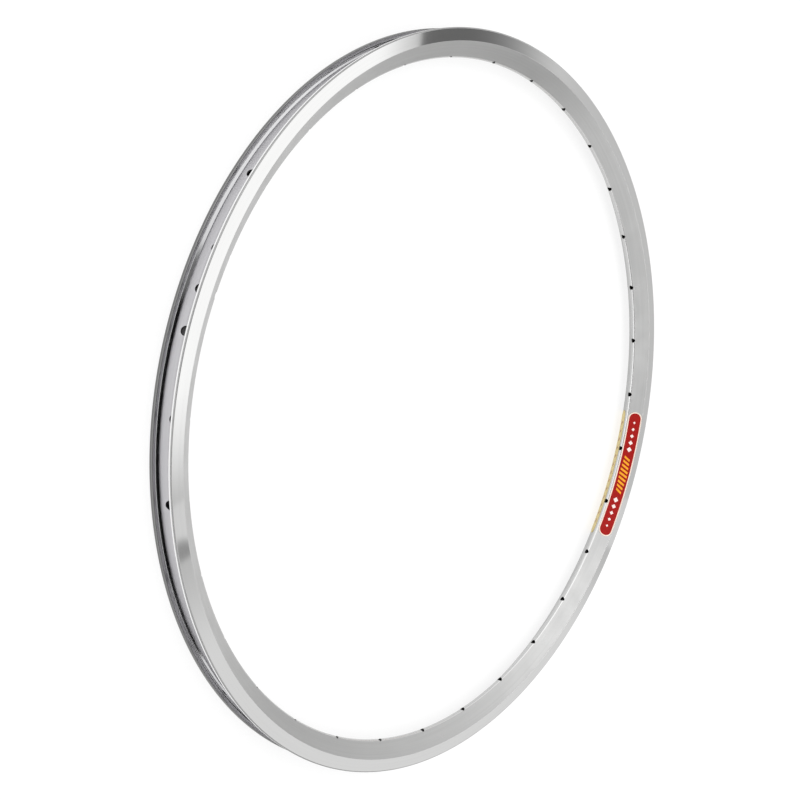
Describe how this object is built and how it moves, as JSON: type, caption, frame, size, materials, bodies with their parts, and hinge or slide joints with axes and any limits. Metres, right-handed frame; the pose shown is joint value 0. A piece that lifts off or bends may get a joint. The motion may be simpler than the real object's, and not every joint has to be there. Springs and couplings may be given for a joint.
{
  "type": "bicycle rim",
  "caption": "Silver double-walled aluminium bicycle rim for a wired-on tyre, with flat brake tracks, angled sidewalls, a rounded drilled spoke bed and a valve hole.",
  "frame": {"origin": "centre of the ring, on its middle plane", "axes": "+Z along the ring's axis, towards the side with the red sticker; +X through the valve hole"},
  "size_m": [0.6339, 0.634, 0.024],
  "materials": {
    "rim_alloy": "satin silver, with smooth machined brake tracks",
    "red_label": "glossy printed film",
    "yellow_label": "glossy printed film"
  },
  "bodies": {
    "root": {"rim": "rim_alloy", "front_sticker": "red_label", "rear_sticker": "yellow_label"}
  },
  "joints": []
}
